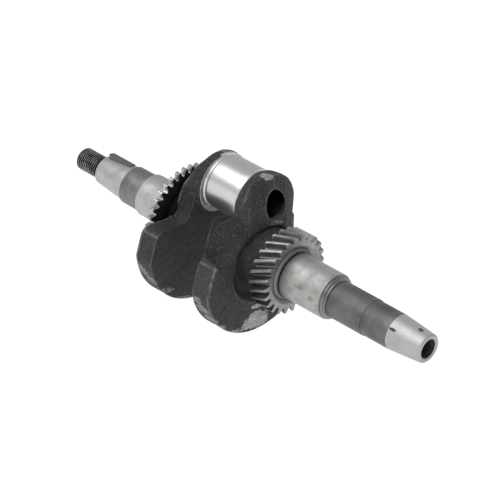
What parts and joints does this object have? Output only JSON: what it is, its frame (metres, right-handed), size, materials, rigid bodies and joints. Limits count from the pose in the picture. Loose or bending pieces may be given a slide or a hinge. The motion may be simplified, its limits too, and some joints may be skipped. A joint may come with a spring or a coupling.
{
  "type": "engine crankshaft",
  "caption": "Single-throw crankshaft with counterweights, a helical timing gear, a thin second gear, a keyed flywheel taper and a tapered output end.",
  "frame": {"origin": "on the main axis, at the middle of the output-side main bearing seat", "axes": "+X along the main axis towards the tapered output end, +Z from the main axis to the crankpin"},
  "size_m": [0.28, 0.0872, 0.0977],
  "materials": {
    "dark_casting": "rough cast surface, dark, worn bare on the edges",
    "ground_journal": "ground",
    "crankpin_polish": "polished",
    "turned_steel": "turned",
    "dark_turned": "turned, dark",
    "thread_steel": "oxidised",
    "gear_steel": "hobbed",
    "thin_gear_steel": "stamped, dark faces",
    "key_steel": "plain"
  },
  "bodies": {
    "crankshaft": {"flywheel_thread": "thread_steel", "flywheel_taper": "ground_journal", "seal_band": "dark_turned", "flywheel_journal": "ground_journal", "balancer_gear": "thin_gear_steel", "flywheel_gear_hub": "dark_turned", "flywheel_cheek": "dark_casting", "flywheel_counterweight": "dark_casting", "flywheel_thrust_face": "turned_steel", "crankpin": "crankpin_polish", "output_thrust_face": "turned_steel", "output_cheek": "dark_casting", "output_counterweight": "dark_casting", "timing_gear_hub": "dark_turned", "timing_gear": "gear_steel", "timing_gear_key": "key_steel", "output_journal": "ground_journal", "output_shoulder": "dark_turned", "output_shaft": "turned_steel", "output_neck": "turned_steel", "output_taper": "ground_journal"},
    "key": {"flywheel_key": "key_steel"}
  },
  "joints": [
    {"name": "flywheel_key_lift", "type": "slide", "parent": "crankshaft", "child": "key", "axis": [0, 0, 1], "range_m": [0, 0.014]}
  ]
}
